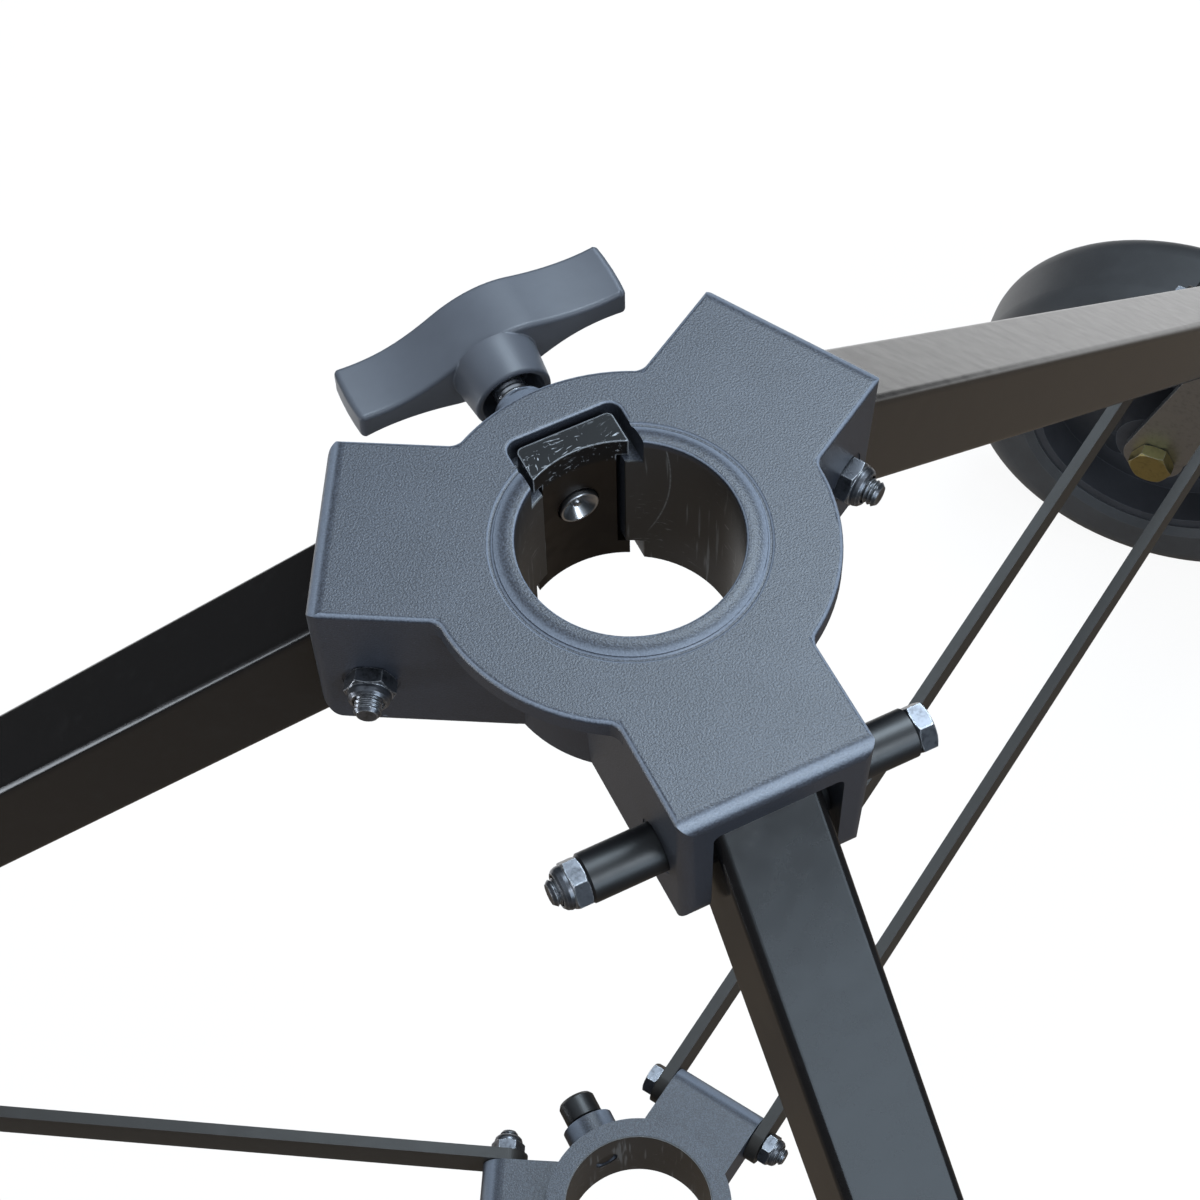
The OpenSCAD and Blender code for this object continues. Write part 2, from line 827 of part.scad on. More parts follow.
module collar_nuts()
{
    color([0.4, 0.41, 0.43]) for (i = [0:2])
        at_arm(i) translate([collar_pin_r, -bar_out - bar_gap, -collar_drop]) along_y(-1)
            lock_nut(bolt_r, bolt_af, nut_h);
}

// socket screw that locks the lower collar on the mast
module collar_screw()
{
    h = collar_wall + 9;
    color([0.2, 0.2, 0.21]) translate([0, bore_r + 0.6, -collar_drop]) along_y(1) difference()
    {
        union()
        {
            rotate_extrude() polygon([[0, 0], [screw_r - 1, 0], [screw_r, 1], [screw_r, h], [0, h]]);
            translate([0, 0, h]) rotate_extrude() polygon([[0, 0], [6.5, 0], [6.5, 7], [5.8, 8], [0, 8]]);
        }
        translate([0, 0, h + 4]) cylinder(r = 6 / sqrt(3), h = 5, $fn = 6);
    }
}

module fork_side()
{
    r = 15;
    top = -crown_z - crown_h + fork_t;
    front = crown_r + 2;
    knee = 0.46 * axle_drop;
    difference()
    {
        union()
        {
            polygon([[10 - crown_r, top], [crown_r, top], [front, -0.3 * axle_drop],
                [trail + 14.4, -axle_drop + 4],
                [trail - 9, -axle_drop - 12], [2, -knee], [14 - crown_r, -0.22 * axle_drop]]);
            translate([trail, -axle_drop]) circle(r);
        }
        translate([trail, -axle_drop]) circle(axle_r + 0.1);
    }
}

module fork(i)
{
    color([0.6, 0.61, 0.63]) at_stem(i) rotate([0, 0, swivel]) difference()
    {
        union()
        {
            translate([0, 0, -crown_z - crown_h]) rotate_extrude()
                polygon([[0, 0], [crown_r, 0], [crown_r, 4], [crown_r - 4, crown_h], [0, crown_h]]);
            translate([5, 0, -crown_z - crown_h]) linear_extrude(fork_t) round_rect(crown_r - 5, fork_out, 5);
            for (s = [-1, 1])
                translate([0, s * (fork_in + fork_t / 2), 0]) across_y(fork_t) fork_side();
        }
        translate([0, 0, -big / 2]) cylinder(r = king_r + pin_fit, h = big);
    }
}

module axle(i)
{
    out = fork_out + 0.2;
    color([0.72, 0.66, 0.45]) at_wheel(i)
    {
        translate([0, 0, -out]) hex_bolt(axle_r, 2 * out + 13, 19, 7, 3, 1.5);
        translate([0, 0, out]) difference()
        {
            hex_prism(19, 10);
            translate([0, 0, -1]) cylinder(r = axle_r + pin_fit, h = 12);
        }
        for (s = [-1, 1])
            translate([0, 0, s > 0 ? hub_half + 0.15 : -fork_in])
                ring(axle_r + pin_fit, 9.5, fork_in - hub_half - 0.15);
    }
}

module tyre(i)
{
    r = min(shoulder_r, (wheel_r - rim_r) / 2);
    color([0.1, 0.1, 0.1]) at_wheel(i) rotate_extrude()
    {
        polygon([[rim_r, -tyre_half + 3], [rim_r + 4, -tyre_half], [wheel_r - r, -tyre_half],
            [wheel_r, -tyre_half + r], [wheel_r, tyre_half - r], [wheel_r - r, tyre_half],
            [rim_r + 4, tyre_half], [rim_r, tyre_half - 3]]);
        for (s = [-1, 1])
            translate([wheel_r - r, s * (tyre_half - r)]) circle(r);
    }
}

module rim(i)
{
    t = 4.5;
    color([0.3, 0.31, 0.33]) at_wheel(i) difference()
    {
        rotate_extrude()
        {
            translate([rim_r - 5, -tyre_half + 4]) square([5 - seat_fit, 2 * tyre_half - 8]);
            translate([bearing_r, -t]) square([rim_r - 2 - bearing_r, 2 * t]);
            translate([bearing_r, -hub_half]) square([7, 2 * hub_half]);
        }
        for (a = [0:60:300])
            rotate([0, 0, a]) translate([(bearing_r + rim_r + 2) / 2, 0, -t - 1])
                cylinder(r = 9, h = 2 * t + 2);
    }
}

module wheel_bearings(i)
{
    color([0.75, 0.76, 0.78]) at_wheel(i) for (s = [-1, 1])
        translate([0, 0, s > 0 ? hub_half - 8 : -hub_half]) ring(axle_r + pin_fit, bearing_r - seat_fit, 8);
}

hub_casting();
short_pivot_bolts();
long_pivot_bolt();
pivot_nuts();
spacer_sleeves();
pivot_washers();
clamp_shoe();
clamp_stud();
t_knob();
leg_tube(0);  // leg_tube_front
leg_tube(1);  // leg_tube_right
leg_tube(2);  // leg_tube_left
pivot_bush(0);  // pivot_bush_front
pivot_bush(1);  // pivot_bush_right
pivot_bush(2);  // pivot_bush_left
brace_bush(0);  // brace_bush_front
brace_bush(1);  // brace_bush_right
brace_bush(2);  // brace_bush_left
foot_plate(0);  // foot_plate_front
foot_plate(1);  // foot_plate_right
foot_plate(2);  // foot_plate_left
caster_plate(0);  // caster_plate_front
caster_plate(1);  // caster_plate_right
caster_plate(2);  // caster_plate_left
caster_bolts(0);  // caster_bolts_front
caster_bolts(1);  // caster_bolts_right
caster_bolts(2);  // caster_bolts_left
king_bolt(0);  // king_bolt_front
king_bolt(1);  // king_bolt_right
king_bolt(2);  // king_bolt_left
brace_bars(0);  // brace_bars_front
brace_bars(1);  // brace_bars_right
brace_bars(2);  // brace_bars_left
brace_screws(0);  // brace_screws_front
brace_screws(1);  // brace_screws_right
brace_screws(2);  // brace_screws_left
lower_collar();
collar_bolts();
collar_nuts();
collar_screw();
fork(0);  // fork_front
fork(1);  // fork_right
fork(2);  // fork_left
axle(0);  // axle_front
axle(1);  // axle_right
axle(2);  // axle_left
tyre(0);  // tyre_front
tyre(1);  // tyre_right
tyre(2);  // tyre_left
rim(0);  // rim_front
rim(1);  // rim_right
rim(2);  // rim_left
wheel_bearings(0);  // wheel_bearings_front
wheel_bearings(1);  // wheel_bearings_right
wheel_bearings(2);  // wheel_bearings_left
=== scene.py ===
"""Looks of the folding rolling base of a camera stand: hub, legs, braces and casters."""
import json
import math

import bmesh
import bpy
from mathutils import Matrix, Vector


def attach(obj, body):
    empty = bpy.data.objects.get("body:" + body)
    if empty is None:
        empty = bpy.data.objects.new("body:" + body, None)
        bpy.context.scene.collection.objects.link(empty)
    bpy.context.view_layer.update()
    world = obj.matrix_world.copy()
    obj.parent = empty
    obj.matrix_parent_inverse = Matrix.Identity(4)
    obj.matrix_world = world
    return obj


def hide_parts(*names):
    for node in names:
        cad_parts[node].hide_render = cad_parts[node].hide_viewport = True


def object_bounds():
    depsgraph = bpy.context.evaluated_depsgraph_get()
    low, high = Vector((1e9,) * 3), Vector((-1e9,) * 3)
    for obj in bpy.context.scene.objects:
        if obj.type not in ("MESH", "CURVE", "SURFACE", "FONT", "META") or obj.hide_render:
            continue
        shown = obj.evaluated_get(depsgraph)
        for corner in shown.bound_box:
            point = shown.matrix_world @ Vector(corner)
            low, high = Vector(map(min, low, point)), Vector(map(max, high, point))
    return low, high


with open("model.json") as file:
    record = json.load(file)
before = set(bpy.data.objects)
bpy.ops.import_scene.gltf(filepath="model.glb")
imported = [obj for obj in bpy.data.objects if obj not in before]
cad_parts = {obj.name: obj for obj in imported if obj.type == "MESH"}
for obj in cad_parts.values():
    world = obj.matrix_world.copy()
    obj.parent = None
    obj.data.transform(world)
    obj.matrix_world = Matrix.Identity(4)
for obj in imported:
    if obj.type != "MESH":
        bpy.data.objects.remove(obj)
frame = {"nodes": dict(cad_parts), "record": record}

cad_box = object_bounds()
MM = 0.001
LEGS = {"front": -90.0, "right": 30.0, "left": 150.0}  # degrees round the mast


# ---------- shader maths ----------

class Val:
    """A node socket that can stand in a Python expression."""

    def __init__(self, owner, socket):
        self.owner, self.socket = owner, socket

    def _math(self, op, a, b=None):
        return self.owner.node("ShaderNodeMath", {"operation": op}, [a] if b is None else [a, b])

    def __add__(self, o): return self._math("ADD", self, o)
    def __radd__(self, o): return self._math("ADD", o, self)
    def __sub__(self, o): return self._math("SUBTRACT", self, o)
    def __rsub__(self, o): return self._math("SUBTRACT", o, self)
    def __mul__(self, o): return self._math("MULTIPLY", self, o)
    def __rmul__(self, o): return self._math("MULTIPLY", o, self)
    def __pow__(self, o): return self._math("POWER", self, o)
    def abs(self): return self._math("ABSOLUTE", self)
    def min(self, o): return self._math("MINIMUM", self, o)
    def max(self, o): return self._math("MAXIMUM", self, o)

    def step(self, low, high):
        """0 at low, 1 at high, smooth between."""
        return self.owner.node("ShaderNodeMapRange", {"interpolation_type": "SMOOTHSTEP"},
                             {"Value": self, "From Min": low, "From Max": high})


class Tree:
    """A node tree, and the way in which nodes are added to it."""

    def __init__(self, tree):
        self.tree = tree

    def node(self, kind, settings, inputs, out=0):
        """A new node with its settings and socket values or links; gives one of its outputs."""
        n = self.tree.nodes.new(kind)
        for key, value in settings.items():
            if key == "stops":  # two, eased between
                n.color_ramp.interpolation = "EASE"
                for stop, (at, colour) in zip(n.color_ramp.elements, value):
                    stop.position, stop.color = at, (*colour, 1)
            else:
                setattr(n, key, value)
        pairs = inputs.items() if isinstance(inputs, dict) else enumerate(inputs)
        for key, value in pairs:
            self.feed(n, key, value)
        return Val(self, n.outputs[out])

    def feed(self, n, key, value):
        """A link into a node's socket, or a plain value; a colour gets its alpha here."""
        if isinstance(value, Val):
            self.tree.links.new(value.socket, n.inputs[key])
            return
        if n.inputs[key].type == "RGBA":
            value = (*value, 1)
        n.inputs[key].default_value = value


class Paint(Tree):
    """A material, with what its finish is mixed from."""

    def __init__(self, name, **plain):
        self.material = bpy.data.materials.new(name)
        self.material.use_nodes = True
        super().__init__(self.material.node_tree)
        self.shader = self.tree.nodes["Principled BSDF"]
        self.place = self.node("ShaderNodeTexCoord", {}, {}, "Object")
        for key, value in plain.items():
            self.set(key.replace("_", " "), value)

    def set(self, name, value):
        self.feed(self.shader, name, value)

    def noise(self, scale, detail=2.0, rough=0.5, at=None):
        return self.node("ShaderNodeTexNoise", {}, {"Vector": at or self.place, "Scale": scale,
                                                    "Detail": detail, "Roughness": rough})

    def streaks(self, x, y, z, detail=2, at=None):
        """Noise with its own scale along each axis, on object coordinates or others given."""
        place = self.node("ShaderNodeVectorMath", {"operation": "MULTIPLY"}, [at or self.place, (x, y, z)])
        return self.noise(1.0, detail, 0.6, place)

    def mix(self, t, a, b):
        """Colours a and b blended by t."""
        return self.node("ShaderNodeMix", {"data_type": "RGBA"}, {0: t, 6: a, 7: b}, 2)

    def bump(self, height, strength, distance, under=None):
        inputs = {"Height": height, "Strength": strength, "Distance": distance}
        if under:
            inputs["Normal"] = under
        return self.node("ShaderNodeBump", {}, inputs)

    def axis(self, name, place=None):
        return self.node("ShaderNodeSeparateXYZ", {}, [place or self.place], name)

    def rounded(self, radius):
        """The surface's direction as if its sharp edges were broken by a small radius."""
        return self.node("ShaderNodeBevel", {"samples": 4}, {"Radius": radius})

    def edges(self, radius):
        """1 on sharp edges, 0 on the faces between them."""
        face = self.node("ShaderNodeNewGeometry", {}, {}, "Normal")
        return self.node("ShaderNodeVectorMath", {"operation": "DOT_PRODUCT"},
                         [self.rounded(radius), face], "Value").step(0.99, 0.90)


def rgb(*screen):
    """A 0 to 255 screen colour as linear light."""
    return tuple(c / 12.92 if c <= 0.04045 else ((c + 0.055) / 1.055) ** 2.4
                 for c in [value / 255 for value in screen])


def toned(colour, times, more=0.0):
    """A paler or darker tone of a linear colour."""
    return tuple(min(1, c * times + more) for c in colour)


# ---------- finishes ----------

BORE_WALL = 24.6 * MM                        # a little outside the hub's bore
SHOE_HEAD = (-8.5 * MM, -7.0 * MM)           # heights between which the shoe's head starts
SOFT_EDGE = 0.3 * MM                         # broken edges of metal parts
SCORE_AT, SCORE_BEND = 0.742, 0.061          # the bore's long scratch: radians round the bore, and its bow
SCORE_MIDDLE, SCORE_PER_M = 10.5 * MM, 83.0  # how deep its middle lies, and the bow's units of height
BARE_STEEL_AND_HIGHLIGHT = rgb(226, 228, 232)


def textured_coat(name, dark, light, wear_and_highlight):
    """Powder coat with a fine sandy grain: painted paler on up-facing faces and darker on side walls as painted
    light and shade, with a painted highlight on rounded upper edges beside real chips; smooth and scratched in
    the bore.
    """
    p = Paint(name, Specular_IOR_Level=0.9)
    x, y, z = [p.axis(k) for k in "XYZ"]
    lean = p.axis("Z", p.node("ShaderNodeTexCoord", {}, {}, "Normal"))
    # Painted highlight: rounded upper edges, whose normals lean between up and sideways.
    edge = lean.step(0.975, 0.86) * lean.step(0.35, 0.7)
    top = lean.step(0.1, 0.5)
    bore = ((x * x + y * y) ** 0.5).step(BORE_WALL + 0.3 * MM, BORE_WALL) * z.step(-0.2 * MM, -1.2 * MM)
    grain = p.noise(2300, 2, 0.6)
    cloud = p.noise(60, 3, 0.6)
    chip = p.noise(420, 4, 0.7).step(0.70, 0.73)
    # Painted light and shade: the grain's paler colour is held mostly to up-facing faces, so side walls stay
    # darker.
    coat = p.mix((grain * 1.5 + cloud * 0.2 - 0.38).step(0.2, 0.8) * (0.2 + top * 0.8), dark, light)
    # The painted edge highlight and the real chips both take the palest colour.
    coat = p.mix((edge * (0.5 + grain * 0.6) + chip * 0.5).min(1.0), coat, wear_and_highlight)
    drag = p.streaks(700, 700, 45).step(0.60, 0.70)
    rub = p.streaks(260, 260, 1300, 3).step(0.62, 0.70) * p.noise(70, 2, 0.5).step(0.45, 0.6)
    around = p.node("ShaderNodeMath", {"operation": "ARCTAN2"}, [y, x])
    bow = (z + SCORE_MIDDLE) * SCORE_PER_M
    score = (around - (bow * bow * SCORE_BEND + SCORE_AT)).abs().step(0.009, 0.004)
    score = score * z.step(-34 * MM, -29 * MM) * (p.noise(900, 3, 0.7).step(0.35, 0.6) * 0.6 + 0.4)
    marks = (drag * 0.7).max(rub).max(score) * bore
    p.set("Base Color", p.mix(bore, coat, p.mix(marks * 0.7, rgb(52, 51, 52), rgb(150, 149, 148))))
    p.set("Roughness", 0.31 + grain * 0.12 - edge * 0.06)
    p.set("Normal", p.bump(grain * (1 - bore), 0.5, 0.2 * MM))
    return p


def smooth_coat(name, colour, rough=0.2, shine=0.5):
    """Smooth powder coat with a slight waviness and dust."""
    p = Paint(name, Specular_IOR_Level=shine)
    dust = p.noise(180, 4, 0.65)
    p.set("Base Color", p.mix(dust.step(0.55, 0.8) * 0.5, colour, toned(colour, 1.6, 0.006)))
    p.set("Roughness", rough + dust * 0.12)
    p.set("Normal", p.bump(p.noise(90, 1, 0.4), 0.08, 1 * MM))
    return p


def worn_gloss(name):
    """Gloss black, scratched and specked on the shoe's head, its edges bright, partly bare and partly a painted
    highlight; below the head the black is tinted brown as a painted reflection.
    """
    p = Paint(name, Specular_IOR_Level=0.3)
    head = p.axis("Z").step(*SHOE_HEAD)
    bend = p.node("ShaderNodeTexNoise", {}, {"Vector": p.place, "Scale": 160.0, "Detail": 1.0}, "Color")
    flow = p.node("ShaderNodeVectorMath", {"operation": "MULTIPLY_ADD"}, [bend, (4 * MM, 4 * MM, 0.0), p.place])
    along = p.streaks(300, 2000, 1100, at=flow).step(0.63, 0.68)
    across = p.streaks(2100, 520, 1100, at=flow).step(0.67, 0.71)
    patch = p.noise(130, 2, 0.5).step(0.42, 0.58)
    specks = p.noise(1200, 3, 0.7).step(0.69, 0.74) * 0.6
    # Painted highlight with wear: the head's edges painted bright.
    rim = p.edges(0.6 * MM) * p.noise(500, 3, 0.7).step(0.2, 0.45)
    wear_and_highlight = (along.max(across) * patch).max(specks).max(rim) * head
    # Painted reflection: below the head the gloss black is painted a warm brown.
    p.set("Base Color", p.mix(wear_and_highlight, p.mix(head, rgb(38, 29, 22), rgb(18, 18, 20)), rgb(196, 199, 204)))
    p.set("Metallic", wear_and_highlight * 0.3)
    p.set("Roughness", 0.36 + patch * 0.1)
    p.set("Normal", p.bump(wear_and_highlight, 0.3, 0.1 * MM, p.rounded(SOFT_EDGE)))
    return p


def metal(name, colour, rough, grime=0.3, edge=0.5, solid=1.0):
    """Plated or turned steel with grime in patches and bright edges, partly bare steel and partly a painted
    highlight.
    """
    p = Paint(name, Metallic=solid)
    patch = p.noise(350, 4, 0.65)
    # Painted highlight with wear: sharp edges painted as bright bare steel.
    bare_edge_and_highlight = p.edges(0.55 * MM) * (p.noise(1400, 2, 0.5).step(0.3, 0.55) * edge)
    plate = p.mix(patch.step(0.45, 0.75) * grime, colour, toned(colour, 0.25))
    p.set("Base Color", p.mix(bare_edge_and_highlight, plate, BARE_STEEL_AND_HIGHLIGHT))
    p.set("Roughness", rough + patch * 0.2)
    p.set("Normal", p.bump(patch, 0.15, 0.2 * MM, p.rounded(SOFT_EDGE)))
    return p


def moulded(name, dark, light, rough=0.5, grain=2600, shine=0.4):
    """Moulded plastic or rubber with a fine matte grain, paler on its edges, partly rubbed and partly a painted
    highlight.
    """
    p = Paint(name, Specular_IOR_Level=shine)
    fine = p.noise(grain, 2, 0.5)
    # Painted highlight with rubbing: sharp edges painted paler.
    p.set("Base Color", p.mix(p.edges(0.6 * MM) * 0.5, p.mix(p.noise(70, 3, 0.6), dark, light),
                              toned(light, 2.2, 0.03)))
    p.set("Roughness", rough + fine * 0.15)
    p.set("Normal", p.bump(fine, 0.12, 0.1 * MM, p.rounded(0.4 * MM)))
    return p


finishes = {
    "hub_paint": textured_coat("hub_textured_coat", rgb(56, 59, 68), rgb(97, 103, 116), rgb(164, 172, 187)),
    "black_gloss": worn_gloss("worn_gloss_black"),
    "bright_steel": metal("stud_steel", rgb(232, 234, 238), 0.2, grime=0.12),
    "knob_plastic": moulded("knob_plastic", rgb(100, 103, 112), rgb(118, 122, 131), 0.34, shine=0.7),
    "dark_zinc": metal("dark_zinc", rgb(118, 120, 126), 0.2, grime=0.95, edge=1.0, solid=0.85),
    "sleeve_black": smooth_coat("sleeve_black", rgb(26, 26, 28), 0.34, 1.0),
    "nylon": moulded("black_nylon", rgb(26, 26, 27), rgb(36, 36, 38), 0.4),
    "leg_paint": smooth_coat("leg_semi_gloss", rgb(33, 31, 31), 0.12),
    "bronze": metal("sintered_bronze", rgb(168, 128, 74), 0.35),
    "bush_steel": metal("turned_steel", rgb(158, 160, 164), 0.3),
    "zinc": metal("bright_zinc", rgb(176, 179, 184), 0.28),
    "yellow_zinc": metal("yellow_zinc", rgb(190, 176, 118), 0.28),
    "brace_paint": smooth_coat("brace_satin", rgb(56, 52, 48), 0.36),
    "tyre_rubber": moulded("tyre_rubber", rgb(60, 60, 61), rgb(80, 80, 82), 0.38, 1400, 0.7),
    "rim_plastic": moulded("rim_plastic", rgb(58, 58, 62), rgb(74, 74, 78), 0.45),
    "bearing_steel": metal("ground_steel", rgb(190, 192, 196), 0.16),
}

slots = {s["node"]: s["material_slot"] for s in frame["record"]["subparts"]}
for name, obj in frame["nodes"].items():
    obj.data.materials.clear()
    obj.data.materials.append(finishes[slots[name]].material)


# ---------- meshes ----------

def link(name, bm, material):
    """An object made of the mesh, in the scene."""
    me = bpy.data.meshes.new(name)
    bm.to_mesh(me)
    bm.free()
    me.materials.append(material)
    obj = bpy.data.objects.new(name, me)
    bpy.context.scene.collection.objects.link(obj)
    return obj


def piece(name, bm, body, node, slot):
    """A smooth piece of the stand that rides on a body and, where a node is given, stands for it."""
    bmesh.ops.recalc_face_normals(bm, faces=bm.faces)
    obj = link(name, bm, finishes[slot].material)
    obj.data.polygons.foreach_set("use_smooth", [True] * len(obj.data.polygons))
    even = obj.modifiers.new("even", "WEIGHTED_NORMAL")
    even.keep_sharp = True
    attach(obj, body)
    if node:
        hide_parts(node)


def skin(bm, pairs, closed):
    """Faces between the two rows of points in each pair; the rows are rings where closed is true."""
    for low, high in pairs:
        count = len(low)
        for k in range(count if closed else count - 1):
            j = (k + 1) % count
            bm.faces.new((low[k], low[j], high[j], high[k]))


# ---------- T-knob and clamp stud, in mm ----------

# The bar's upper edge from tip to tip, seen along the stud: ends and handles of three curves.
KNOB_TOP = [(34, 0), (23, -1.2), (17, 1.2), (9, 5.8), (3, 9.4), (-4, 11), (-11, 9.1),
            (-19, 7), (-27, 6.4), (-34, 7.9)]
KNOB_THICK, KNOB_SOFT = 16.0, 1.2                        # thickness and edge radius
KNOB_AT, NECK_AT = 68.8, 58.5                            # distance of bar and neck from the mast's line
END_FROM, END_OVER, END_CROWN = 22.0, 12.0, 0.5          # where the tips' faces are crowned, and how far
CURVE_STEPS, SOFT_STEPS = 20, 6
CORNER, FAN = 0.6, 6                                     # the turn in radians that makes a corner, and its steps
SCREW_DROP = 21.0                                        # the stud's line below the hub's face
STUD_R, THREAD_ROOT, CENTRE = 4.0, 3.4, 0.01
THREAD_AT, THREAD_PITCH, THREAD_TURNS, STUD_END = 44.5, 1.25, 14, 77.8

# Profiles of (radius, distance): the neck, from its hole to the bar; the stud's flared end; one ridge in pitches.
NECK_R, NECK_HOLE, NECK_LONG = 9.35, 7.6, KNOB_AT - NECK_AT
NECK = [(STUD_R, 7.5), (NECK_HOLE - 0.4, 7.5), (NECK_HOLE, 7.1), (NECK_HOLE, 0.6), (NECK_HOLE + 0.3, 0.15),
        (NECK_HOLE + 0.8, 0), (NECK_R - 0.6, 0), (NECK_R - 0.15, 0.2), (NECK_R, 0.7),
        (NECK_R + 0.92, NECK_LONG - 1.2), (NECK_R + 1.0, NECK_LONG + 0.6)]
FLARE = [(CENTRE, 25.75), (0.5, 25.8), (0.95, 26.1), (1.15, 26.7), (1.3, 27.7), (1.5, 27.8), (4.05, 24.95),
         (4.3, 24.8), (4.55, 24.9), (4.65, 25.2), (4.65, 28.2), (3.0, 28.25), (3.0, 32.55), (STUD_R, 32.7)]
RIDGE = ((STUD_R, 0.1), (THREAD_ROOT, 0.46), (THREAD_ROOT, 0.54), (STUD_R, 0.9))


def bezier(a, b, c, d):
    """Points on a curve from a up to d, without d itself."""
    return [tuple((1 - t) ** 3 * i + 3 * (1 - t) ** 2 * t * j + 3 * (1 - t) * t * t * k + t ** 3 * m
                  for i, j, k, m in zip(a, b, c, d)) for t in [s / CURVE_STEPS for s in range(CURVE_STEPS)]]


def knob_plan():
    """Outline of the bar seen along the stud, inset by its edge radius: points and the outward angles at each."""
    top = [point for k in (0, 3, 6) for point in bezier(*KNOB_TOP[k:k + 4])] + [KNOB_TOP[-1]]
    loop = [Vector(p) for p in top] + [Vector((-x, -y)) for x, y in top]  # the lower edge is the upper, turned
    plan = []
    for k, p in enumerate(loop):
        before, after = p - loop[k - 1], loop[(k + 1) % len(loop)] - p
        a, b = [math.atan2(-e.x, e.y) for e in (before, after)]
        b -= math.tau * round((b - a) / math.tau)  # the short way round
        mid = (a + b) / 2
        inner = p - Vector((math.cos(mid), math.sin(mid))) * KNOB_SOFT / math.cos((b - a) / 2)
        fan = [a + (b - a) * i / FAN for i in range(FAN + 1)] if abs(b - a) > CORNER else [mid]
        plan.append((inner, fan))
    return plan


def turned(bm, profile, start, n=72):
    """A profile of (radius, distance) turned round the stud's line."""
    rows = [[bm.verts.new((r * math.sin(math.tau * k / n) * MM, (start + d) * MM,
                           (r * math.cos(math.tau * k / n) - SCREW_DROP) * MM)) for k in range(n)]
            for r, d in profile]
    skin(bm, zip(rows, rows[1:]), True)


def t_knob():
    """A wavy bar with soft edges and crowned ends, on a hollow neck that the stud goes into."""
    bm = bmesh.new()
    plan = knob_plan()
    turns = [math.pi / 2 * i / SOFT_STEPS for i in range(SOFT_STEPS + 1)]
    soft = [(KNOB_SOFT * math.sin(t), KNOB_SOFT * (1 - math.cos(t))) for t in turns]
    sides = [(KNOB_SOFT, KNOB_THICK / 4 * i) for i in (1, 2, 3)]
    rows = []
    for grow, y in soft + sides + [(r, KNOB_THICK - y) for r, y in reversed(soft)]:
        crown = END_CROWN * (2 * y / KNOB_THICK - 1) ** 2
        row = []
        for inner, fan in plan:
            for angle in fan:
                x, z = inner.x + grow * math.cos(angle), inner.y + grow * math.sin(angle)
                x -= math.copysign(crown * min(1, max(0, (abs(x) - END_FROM) / END_OVER)) ** 2, x)
                row.append(bm.verts.new((-x * MM, (KNOB_AT + y) * MM, (z - SCREW_DROP) * MM)))
        rows.append(row)
    skin(bm, zip(rows, rows[1:]), True)
    bmesh.ops.remove_doubles(bm, verts=bm.verts, dist=1e-6)
    for y in (KNOB_AT, KNOB_AT + KNOB_THICK):
        rim = [e for e in bm.edges if e.is_boundary and abs(e.verts[0].co.y - y * MM) < 1e-5]
        bmesh.ops.contextual_create(bm, geom=rim)
    turned(bm, NECK, NECK_AT)
    piece("t_knob_moulded", bm, "knob", "t_knob", "knob_plastic")


def clamp_stud():
    """The clamp's screw: an end flared open in the shoe with a pip in its cone, a neck, and thread ridges."""
    bm = bmesh.new()
    ridges = [(r, THREAD_AT + THREAD_PITCH * (k + at)) for k in range(THREAD_TURNS) for r, at in RIDGE]
    turned(bm, FLARE + ridges + [(STUD_R, STUD_END), (CENTRE, STUD_END)], 0.0, 48)
    piece("clamp_stud_peened", bm, "knob", "clamp_stud", "bright_steel")


t_knob()
clamp_stud()


# ---------- welds between leg tubes and foot plates, in mm ----------

TUBE_HALF, TUBE_ROUND, LEG_SLOPE = 12.7, 2.4, math.radians(44)
PIVOT_R, PIVOT_DROP, FOOT_DROP = 54.5, 26.5, 496.0
BEAD, RIPPLE, RIPPLE_EVERY, WANDER, WANDER_RATE = 2.3, 0.28, 3.4, 0.22, 0.37
BEAD_STEP, BEAD_SIDES, BEAD_POWER, ROUND_STEPS = 0.5, 8, 1.3, 6
BEAD_SINK, PLATE_SINK, BEAD_LEAN = 0.4, 0.1, 0.9         # into the tube, into the plate, and along the leg


def tube_foot():
    """Outline of a sloping square tube with round corners, where it meets its level plate."""
    long, wide = TUBE_HALF / math.sin(LEG_SLOPE) - TUBE_ROUND, TUBE_HALF - TUBE_ROUND
    path = []
    for k, (sx, sy) in enumerate(((1, 1), (-1, 1), (-1, -1), (1, -1))):
        for j in range(ROUND_STEPS + 1):
            a = math.pi / 2 * (k + j / ROUND_STEPS)
            path.append(Vector((sx * long + TUBE_ROUND * math.cos(a), sy * wide + TUBE_ROUND * math.sin(a))))
    return path


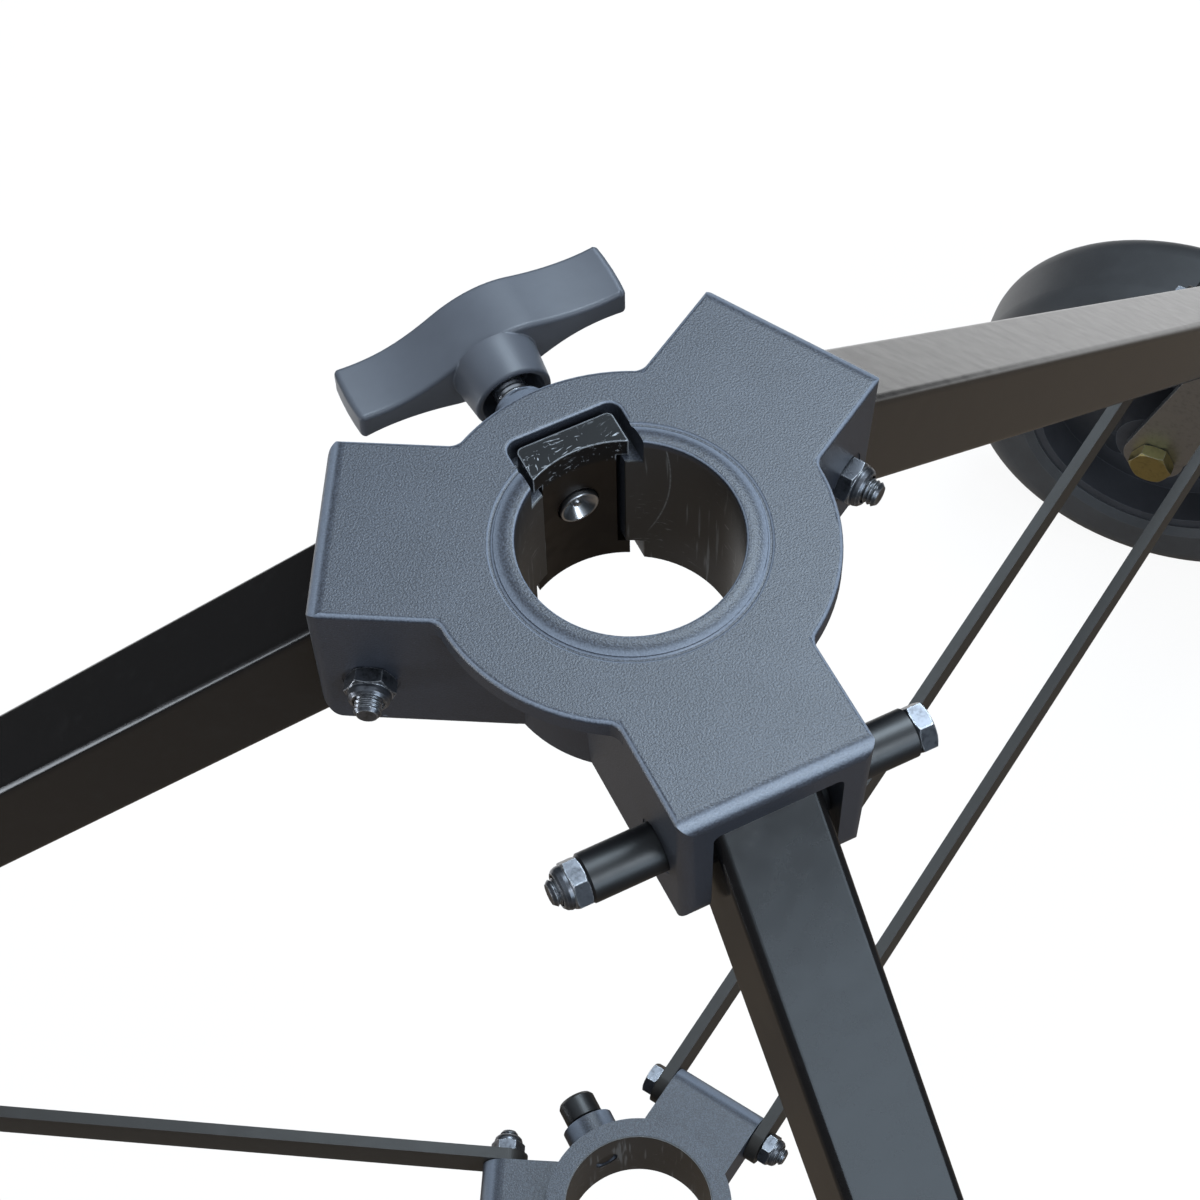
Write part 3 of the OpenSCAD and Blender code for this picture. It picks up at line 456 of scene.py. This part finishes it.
def weld(leg, azimuth):
    """A rippled bead round the foot of a leg tube, from points at even steps along the tube's outline."""
    foot = PIVOT_R + (FOOT_DROP - PIVOT_DROP) / math.tan(LEG_SLOPE)
    path = tube_foot()
    fine, reach = [], 0.0
    for a, b in zip(path, path[1:] + path[:1]):
        steps = max(1, round((b - a).length / BEAD_STEP))
        for s in range(steps):
            fine.append((a.lerp(b, s / steps), reach + (b - a).length * s / steps))
        reach += (b - a).length
    turn = Matrix.Rotation(math.radians(azimuth), 3, "Z")
    bm = bmesh.new()
    rows = []
    for k, (at, run) in enumerate(fine):
        ahead = (fine[(k + 1) % len(fine)][0] - fine[k - 1][0]).normalized()
        out = Vector((ahead.y, -ahead.x))
        size = BEAD + RIPPLE * abs(math.sin(math.tau * run / RIPPLE_EVERY))
        size += WANDER * math.sin(run * WANDER_RATE + azimuth)
        row = []
        for j in range(BEAD_SIDES + 1):
            a = math.pi / 2 * j / BEAD_SIDES
            side = size * math.cos(a) ** BEAD_POWER - BEAD_SINK
            up = size * math.sin(a) ** BEAD_POWER
            lean = up * BEAD_LEAN / math.tan(LEG_SLOPE)
            spot = Vector((foot + at.x + out.x * side - lean, at.y + out.y * side, up - FOOT_DROP - PLATE_SINK))
            row.append(bm.verts.new(turn @ spot * MM))
        rows.append(row)
    skin(bm, zip(rows, rows[1:] + rows[:1]), False)
    piece("weld_" + leg, bm, "leg_" + leg, None, "leg_paint")


for leg, azimuth in LEGS.items():
    weld(leg, azimuth)


# ---------- floor, world and lamps ----------

FLOOR_R, FLOOR_GAP = 1.4, 0.2 * MM
DIM, CEILING, WHITE = (0.055, 0.055, 0.055), (0.36, 0.41, 0.46), (1, 1, 1)


def floor():
    """Pale floor, nearly clear to the camera over the white world; reflections see it lit at the back."""
    bm = bmesh.new()
    bmesh.ops.create_circle(bm, cap_ends=True, segments=96, radius=FLOOR_R)
    bmesh.ops.translate(bm, verts=bm.verts, vec=(0, 0, cad_box[0].z - FLOOR_GAP))
    p = Paint("pale_floor", Roughness=0.9, Specular_IOR_Level=0.1)
    p.set("Base Color", p.mix(p.noise(3, 2), rgb(228, 228, 226), rgb(236, 236, 235)))
    camera, glossy, glass = [p.node("ShaderNodeLightPath", {}, {}, "Is %s Ray" % k)
                             for k in ("Camera", "Glossy", "Transmission")]
    back = (p.axis("Y") + p.axis("X") * 0.1).step(0.32, 0.62)
    glow = p.node("ShaderNodeEmission", {}, {"Color": p.mix(back, (0.13, 0.10, 0.07), WHITE)})
    lift = p.node("ShaderNodeEmission", {}, {"Color": (0.12, 0.12, 0.12)})
    clear = p.node("ShaderNodeAddShader", {}, [p.node("ShaderNodeBsdfTransparent", {}, {}), lift])
    bright = p.node("ShaderNodeMixShader", {}, [camera, glow, clear])
    body = Val(p, p.shader.outputs[0])
    both = p.node("ShaderNodeMixShader", {}, [camera * 0.82 + glossy * 0.95 + glass * 0.95, body, bright])
    p.feed(p.tree.nodes["Material Output"], "Surface", both)
    link("floor", bm, p.material)


def sky():
    """White to the camera; a soft pale ceiling over a dim room to everything else."""
    world = bpy.data.worlds.new("studio")
    bpy.context.scene.world = world
    world.use_nodes = True
    t = Tree(world.node_tree)
    t.tree.nodes.remove(t.tree.nodes["Background"])
    up = t.node("ShaderNodeSeparateXYZ", {}, [t.node("ShaderNodeTexCoord", {}, {}, "Generated")], "Z")
    tone = t.node("ShaderNodeValToRGB", {"stops": ((0.25, DIM), (0.75, CEILING))}, [up])
    room = t.node("ShaderNodeBackground", {}, {"Color": tone})
    white = t.node("ShaderNodeBackground", {}, {"Color": WHITE})
    camera = t.node("ShaderNodeLightPath", {}, {}, "Is Camera Ray")
    t.feed(t.tree.nodes["World Output"], "Surface", t.node("ShaderNodeMixShader", {}, [camera, room, white]))


def lamp(name, at, size, glow, colour, aim):
    """A soft box of a given size and brightness, seen by everything but the camera."""
    data = bpy.data.lights.new(name, "AREA")
    data.shape = "RECTANGLE"
    data.size, data.size_y = size
    data.energy = glow * math.pi * size[0] * size[1]
    data.color = colour
    obj = bpy.data.objects.new(name, data)
    obj.location = at
    obj.rotation_euler = (Vector(aim) - Vector(at)).to_track_quat("-Z", "Y").to_euler()
    obj.visible_camera = False
    bpy.context.scene.collection.objects.link(obj)


floor()
sky()
lamp("top_box", (0.82, 0.5, 1.6), (0.85, 1.1), 7.6, (0.74, 0.88, 1.0), (0.72, 0.45, 0))
lamp("front_window", (0.42, -1.45, 1.15), (0.6, 0.6), 6.0, (0.8, 0.9, 1.0), (0, 0, -0.02))
lamp("left_strip", (-1.9, 0.3, -0.54), (1.1, 0.4), 7.0, (0.85, 0.92, 1.0), (-0.15, 0.05, -0.15))
lamp("front_strip", (0.55, -2.2, 0.55), (1.8, 0.7), 3.2, (0.68, 0.84, 1.0), (0, 0, -0.1))


# ---------- camera ----------

PHOTO_WIDTH, FOCAL = 1200, 2763.3                        # px
SENSOR = 36.0                                            # mm
PITCH, ROLL, TURN = 1.007, -0.030, math.radians(-24.91)  # the pitch is down from level
EYE = Vector((-6.737, -319.722, 482.214))                # mm, before the turn


def photo_camera():
    """The photograph's camera: its focal length, tilt, roll and place."""
    data = bpy.data.cameras.new("photo_camera")
    data.sensor_width = SENSOR
    data.lens = SENSOR * FOCAL / PHOTO_WIDTH
    data.clip_start, data.clip_end = 0.01, 50
    ahead = Vector((0, math.cos(PITCH), -math.sin(PITCH)))
    level, above = Vector((1, 0, 0)), Vector((0, math.sin(PITCH), math.cos(PITCH)))
    right = math.cos(ROLL) * level + math.sin(ROLL) * above
    up = math.cos(ROLL) * above - math.sin(ROLL) * level
    spin = Matrix.Rotation(TURN, 3, "Z")
    axes = Matrix([spin @ right, spin @ up, spin @ -ahead]).transposed()
    cam = bpy.data.objects.new("photo_camera", data)
    cam.matrix_world = Matrix.Translation(spin @ EYE * MM) @ axes.to_4x4()
    bpy.context.scene.collection.objects.link(cam)
    bpy.context.scene.camera = cam


photo_camera()
bpy.context.scene.view_settings.view_transform = "Standard"
